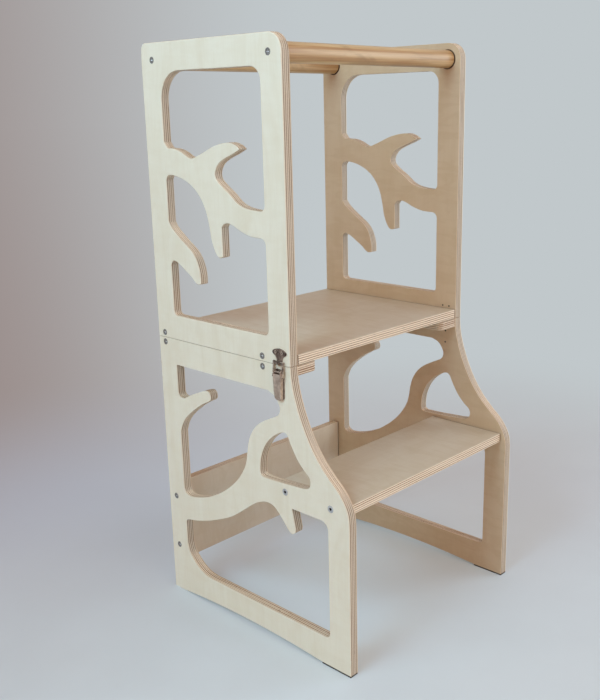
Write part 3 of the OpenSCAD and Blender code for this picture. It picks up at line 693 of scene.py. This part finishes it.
class TOWER_OT_rails(bpy.types.Operator):
    """Oil the two round rails"""
    bl_idname = "tower.rails"
    bl_label = "Rails"

    def execute(self, context):
        wood = rail_wood("rail_wood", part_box("lower_panel_right")[LOW_END][X_AXIS])
        for node in ("front_rail", "rear_rail"):
            eased(node, wood, 0.0, flat=FLAT_METAL)
        return {"FINISHED"}


class TOWER_OT_foot_pads(bpy.types.Operator):
    """Finish the pads under the front feet"""
    bl_idname = "tower.foot_pads"
    bl_label = "Foot Pads"

    def execute(self, context):
        eased("foot_pads", rubber("pad_rubber"), context.scene.tower_sizes.pad_ease)
        return {"FINISHED"}


class TOWER_OT_wood_screws(bpy.types.Operator):
    """Plate the countersunk screws with dull zinc"""
    bl_idname = "tower.wood_screws"
    bl_label = "Countersunk Screws"

    def execute(self, context):
        shade = context.scene.tower_colours.zinc
        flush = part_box("rail_screws")[HIGH_END][X_AXIS]
        # The heads get a painted shadow at the rim and a painted glint in the recess
        zinc = plated("screw_zinc", shade, dimmed(shade, 0.72), roughness=0.30, mottle=420.0, metal=0.55,
                      flush=flush, glint=1.0)
        metal_pieces(("rail_screws", "platform_screws", "cleat_screws", "rear_board_screws"), zinc,
                     context.scene.tower_sizes.head_ease)
        return {"FINISHED"}


class TOWER_OT_step_bolts(bpy.types.Operator):
    """Plate the bolts of the step with bright nickel"""
    bl_idname = "tower.step_bolts"
    bl_label = "Step Bolts"

    def execute(self, context):
        shade = context.scene.tower_colours.nickel
        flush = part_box("step_bolts")[HIGH_END][X_AXIS]
        nickel = plated("bolt_nickel", shade, dimmed(shade, 0.85), roughness=0.20, mottle=300.0, metal=0.6,
                        flush=flush)
        metal_pieces(("step_bolts",), nickel, context.scene.tower_sizes.head_ease)
        return {"FINISHED"}


class TOWER_OT_hinges(bpy.types.Operator):
    """Finish the leaves and pins of the two hinges and their screws"""
    bl_idname = "tower.hinges"
    bl_label = "Hinges"

    def execute(self, context):
        scene, colours = context.scene, context.scene.tower_colours
        steel = plated("hinge_steel", colours.nickel, dimmed(colours.nickel, 0.8), roughness=0.22,
                       mottle=160.0)
        metal_pieces(("hinge_upper_leaf_left", "hinge_upper_leaf_right", "hinge_lower_leaf_left",
                      "hinge_lower_leaf_right"), steel, scene.tower_sizes.metal_ease)
        dull = plated("hinge_screw_steel", colours.zinc, dimmed(colours.zinc, 0.7), roughness=0.28,
                      mottle=500.0)
        metal_pieces(("hinge_pins", "hinge_upper_screws", "hinge_lower_screws"), dull,
                     scene.tower_sizes.metal_ease)
        return {"FINISHED"}


class TOWER_OT_latch_plates(bpy.types.Operator):
    """Finish the catch plates and the base plates of the latches"""
    bl_idname = "tower.latch_plates"
    bl_label = "Latch Plates"

    def execute(self, context):
        scene = context.scene
        bronze = latch_bronze(scene, "latch_plate_bronze", ("bronze_middle", "bronze_dark"), roughness=0.30,
                              mottle=110.0)
        metal_pieces(("catch_plate_left", "catch_plate_right", "latch_base_left", "latch_base_right"), bronze,
                     scene.tower_sizes.metal_ease)
        return {"FINISHED"}


class TOWER_OT_latch_levers(bpy.types.Operator):
    """Finish the levers of the latches"""
    bl_idname = "tower.latch_levers"
    bl_label = "Latch Levers"

    def execute(self, context):
        scene = context.scene
        bronze = latch_bronze(scene, "latch_lever_bronze", ("bronze_light", "bronze_middle"), roughness=0.34,
                              mottle=60.0)
        metal_pieces(("latch_lever_left", "latch_lever_right"), bronze, scene.tower_sizes.metal_ease)
        return {"FINISHED"}


class TOWER_OT_latch_bails(bpy.types.Operator):
    """Finish the bails of the latches"""
    bl_idname = "tower.latch_bails"
    bl_label = "Latch Bails"

    def execute(self, context):
        scene = context.scene
        bronze = latch_bronze(scene, "latch_bail_bronze", ("bronze_light", "bronze_dark"), roughness=0.26,
                              mottle=150.0)
        for node in ("latch_bail_left", "latch_bail_right"):
            eased(node, bronze, scene.tower_sizes.wire_ease)
        return {"FINISHED"}


class TOWER_OT_latch_screws(bpy.types.Operator):
    """Finish the small screws and the pivot pins of the latches"""
    bl_idname = "tower.latch_screws"
    bl_label = "Latch Screws"

    def execute(self, context):
        scene = context.scene
        bronze = latch_bronze(scene, "latch_screw_bronze", ("bronze_light", "bronze_middle"), roughness=0.30,
                              mottle=600.0, flush=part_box("catch_screws")[HIGH_END][X_AXIS])
        metal_pieces(("catch_screws", "latch_base_screws"), bronze, scene.tower_sizes.metal_ease)
        pin = latch_bronze(scene, "latch_pin_bronze", ("bronze_light", "bronze_dark"), roughness=0.28,
                           mottle=300.0)
        metal_pieces(("latch_pivot_pins",), pin, scene.tower_sizes.metal_ease)
        return {"FINISHED"}


def seen_directly(tree):
    """One where the camera looks at a surface, also in a reflection, and zero where light lands on it."""
    path = add(tree, "ShaderNodeLightPath").outputs
    return work(tree, "MAXIMUM", path["Is Camera Ray"], work(tree, "MAXIMUM", path["Is Glossy Ray"],
                                                            path["Is Transmission Ray"]))


def backdrop_shade(tree, direction, stage):
    """The background's colour by direction over the floor: darker at the left of the photograph's view."""
    side = Vector((math.cos(VIEW_AZIMUTH), math.sin(VIEW_AZIMUTH), 0.0))
    across = add(tree, "ShaderNodeVectorMath", {0: direction, 1: side}, operation="DOT_PRODUCT").outputs[1]
    amount = work(tree, "MAXIMUM", fade(tree, across, *RIGHT_BAND),
                  fade(tree, across, *BEHIND_BAND, BEHIND_SHARE, 0.0))
    return blend(tree, amount, linear(stage.far_left), linear(stage.far_right))


def far_and_left(tree, place):
    """How far a place is behind the tower and to its left, as the photograph shows them."""
    ahead = (-math.sin(VIEW_AZIMUTH), math.cos(VIEW_AZIMUTH), 0.0)
    left = (-math.cos(VIEW_AZIMUTH), -math.sin(VIEW_AZIMUTH), 0.0)
    depth, aside = (add(tree, "ShaderNodeVectorMath", {0: place, 1: way}, operation="DOT_PRODUCT").outputs[1]
                    for way in (ahead, left))
    return times(tree, fade(tree, depth, *FAR_BAND), fade(tree, aside, *LEFT_BAND, *LEFT_SHARES))


def floor_material(stage):
    """Pale floor whose shadow a painted glow of the background's colour lightens near the tower, and which
    turns into that colour away from it.
    """
    material, tree, shader, place = new_material("stage_floor")
    away = add(tree, "ShaderNodeVectorMath", {0: place}, operation="LENGTH").outputs["Value"]
    level = add(tree, "ShaderNodeVectorMath", {0: place}, operation="NORMALIZE").outputs[0]
    reach = work(tree, "DIVIDE", away, work(tree, "ADD", away, 1.0))
    heading = add(tree, "ShaderNodeVectorMath", {0: level, "Scale": reach}, operation="SCALE").outputs[0]
    soft, soft_amount = grained(tree, place, X_AXIS, FLOOR_SOFT)
    shade = blend(tree, soft_amount, linear(stage.floor), linear(dimmed(stage.floor, FLOOR_WORN)))
    # Painted shade: the floor darkens behind the tower and to its left
    shade = blend(tree, far_and_left(tree, place), shade, linear(stage.floor_far_shaded))
    rough = scaled_sum(tree, soft, FLOOR_ROUGHER, FLOOR_ROUGHNESS)
    finish(tree, shader, shade, rough, soft, FLOOR_RELIEF, FLOOR_STRENGTH)
    glow = add(tree, "ShaderNodeEmission", {0: backdrop_shade(tree, heading, stage), 1: 1.0})
    # Painted glow: even next to the tower a quarter of the background's colour, which lightens the floor's
    # shadows
    amount = times(tree, seen_directly(tree), fade(tree, away, *GLOW_BAND, *GLOW_SHARES))
    mixed = add(tree, "ShaderNodeMixShader", {0: amount, 1: shader.outputs[0], 2: glow.outputs[0]})
    tree.links.new(mixed.outputs[0], tree.nodes["Material Output"].inputs["Surface"])
    return material


def stage_world(scene):
    """Even light from all round, with the background's colour where the world itself is seen."""
    stage = scene.tower_stage
    world = bpy.data.worlds.new("stage_world")
    scene.world = world
    world.use_nodes = True
    tree = world.node_tree
    light = tree.nodes["Background"]
    light.inputs["Color"].default_value = linear(stage.sky)
    light.inputs["Strength"].default_value = stage.sky_strength
    heading = add(tree, "ShaderNodeTexCoord").outputs["Generated"]
    seen_shade = add(tree, "ShaderNodeBackground", {0: backdrop_shade(tree, heading, stage), 1: 1.0})
    mixed = add(tree, "ShaderNodeMixShader", {0: seen_directly(tree), 1: light.outputs[0],
                                              2: seen_shade.outputs[0]})
    tree.links.new(mixed.outputs[0], tree.nodes["World Output"].inputs["Surface"])


def lamp(name, power, shade, place, target, width):
    """A large soft lamp that faces a point."""
    light = bpy.data.lights.new(name, "AREA")
    light.shape = "DISK"
    light.size = width
    light.energy = power
    light.color = shade
    made = bpy.data.objects.new(name, light)
    bpy.context.scene.collection.objects.link(made)
    made.matrix_world = (Matrix.Translation(place)
                         @ (Vector(target) - Vector(place)).to_track_quat("-Z", "Y").to_matrix().to_4x4())


def stage_lamps(stage):
    """Five lamps: two at the left, one in front, one at the front right and one overhead."""
    lamp("side_lamp", stage.side_power, (0.59, 0.91, 1.0), place=(-2.2, 0.2, 2.0), target=(0.0, 0.0, 0.6),
         width=1.5)
    lamp("high_lamp", stage.high_power, (0.42, 0.70, 1.0), place=(-1.5, -0.3, 1.6), target=(-0.1, 0.0, 0.85),
         width=0.7)
    lamp("front_lamp", stage.front_power, (1.0, 0.79, 0.66), place=(-0.4, -2.8, 1.6), target=(0.0, 0.0, 0.4),
         width=2.0)
    lamp("right_lamp", stage.right_power, (0.68, 0.86, 1.0), place=(2.2, -2.0, 1.3), target=(0.0, 0.0, 0.5),
         width=2.2)
    lamp("top_lamp", stage.top_power, (0.77, 1.0, 0.96), place=(-0.5, -0.5, 3.2), target=(0.0, 0.0, 0.0),
         width=2.0)


def photo_camera(scene):
    """The photograph's camera, from its fitted place, heading and lens."""
    turn, rise = VIEW_AZIMUTH, VIEW_ELEVATION
    back = Vector((math.sin(turn) * math.cos(rise), -math.cos(turn) * math.cos(rise), math.sin(rise)))
    side = Vector((math.cos(turn), math.sin(turn), 0.0))
    up = back.cross(side)
    right = side * math.cos(VIEW_ROLL) + up * math.sin(VIEW_ROLL)
    top = up * math.cos(VIEW_ROLL) - side * math.sin(VIEW_ROLL)
    lens = bpy.data.cameras.new("photo_camera")
    lens.sensor_width = VIEW_SENSOR
    lens.lens = VIEW_LENS
    lens.shift_x = VIEW_SHIFT
    lens.clip_end = VIEW_REACH
    made = bpy.data.objects.new("photo_camera", lens)
    scene.collection.objects.link(made)
    frame_axes = Matrix((right, top, back)).transposed().to_4x4()
    made.matrix_world = Matrix.Translation(VIEW_PLACE) @ frame_axes
    scene.camera = made


class TOWER_OT_stage(bpy.types.Operator):
    """Lay the floor, hang the lamps and set up the camera at the photograph's view"""
    bl_idname = "tower.stage"
    bl_label = "Stage"

    def execute(self, context):
        scene, stage = context.scene, context.scene.tower_stage
        shape = bmesh.new()
        bmesh.ops.create_grid(shape, x_segments=1, y_segments=1, size=FLOOR_HALF)
        mesh = bpy.data.meshes.new("stage_floor")
        shape.to_mesh(mesh)
        shape.free()
        mesh.materials.append(floor_material(stage))
        floor = bpy.data.objects.new("stage_floor", mesh)
        scene.collection.objects.link(floor)
        stage_world(scene)
        stage_lamps(stage)
        photo_camera(scene)
        scene.view_settings.view_transform = "Standard"
        return {"FINISHED"}


class TOWER_PT_panel(bpy.types.Panel):
    """Lists the tower's pieces"""
    bl_idname = "TOWER_PT_panel"
    bl_label = "Learning Tower"
    bl_space_type = "VIEW_3D"
    bl_region_type = "UI"
    bl_category = "Learning Tower"

    def draw(self, context):
        for operator in OPERATORS:
            self.layout.operator(operator.bl_idname)
        for group in (context.scene.tower_sizes, context.scene.tower_colours, context.scene.tower_stage):
            box = self.layout.box()
            for name in group.__annotations__:
                box.prop(group, name)


GROUPS = {"tower_sizes": TowerSizes, "tower_colours": TowerColours, "tower_stage": TowerStage}
OPERATORS = (TOWER_OT_stage, TOWER_OT_upper_panels, TOWER_OT_lower_panels, TOWER_OT_platform,
             TOWER_OT_step_board, TOWER_OT_rear_board, TOWER_OT_cleats, TOWER_OT_rails, TOWER_OT_foot_pads,
             TOWER_OT_wood_screws, TOWER_OT_step_bolts, TOWER_OT_hinges, TOWER_OT_latch_plates,
             TOWER_OT_latch_levers, TOWER_OT_latch_bails, TOWER_OT_latch_screws)


def register():
    for name, group in GROUPS.items():
        bpy.utils.register_class(group)
        setattr(bpy.types.Scene, name, PointerProperty(type=group))
    for made in OPERATORS + (TOWER_PT_panel,):
        bpy.utils.register_class(made)


def unregister():
    for made in reversed(OPERATORS + (TOWER_PT_panel,)):
        bpy.utils.unregister_class(made)
    for name, group in GROUPS.items():
        delattr(bpy.types.Scene, name)
        bpy.utils.unregister_class(group)


def main():
    """Makes every piece in order."""
    register()
    bpy.ops.tower.stage()
    bpy.ops.tower.upper_panels()
    bpy.ops.tower.lower_panels()
    bpy.ops.tower.platform()
    bpy.ops.tower.step_board()
    bpy.ops.tower.rear_board()
    bpy.ops.tower.cleats()
    bpy.ops.tower.rails()
    bpy.ops.tower.foot_pads()
    bpy.ops.tower.wood_screws()
    bpy.ops.tower.step_bolts()
    bpy.ops.tower.hinges()
    bpy.ops.tower.latch_plates()
    bpy.ops.tower.latch_levers()
    bpy.ops.tower.latch_bails()
    bpy.ops.tower.latch_screws()


if __name__ == "__main__":
    main()
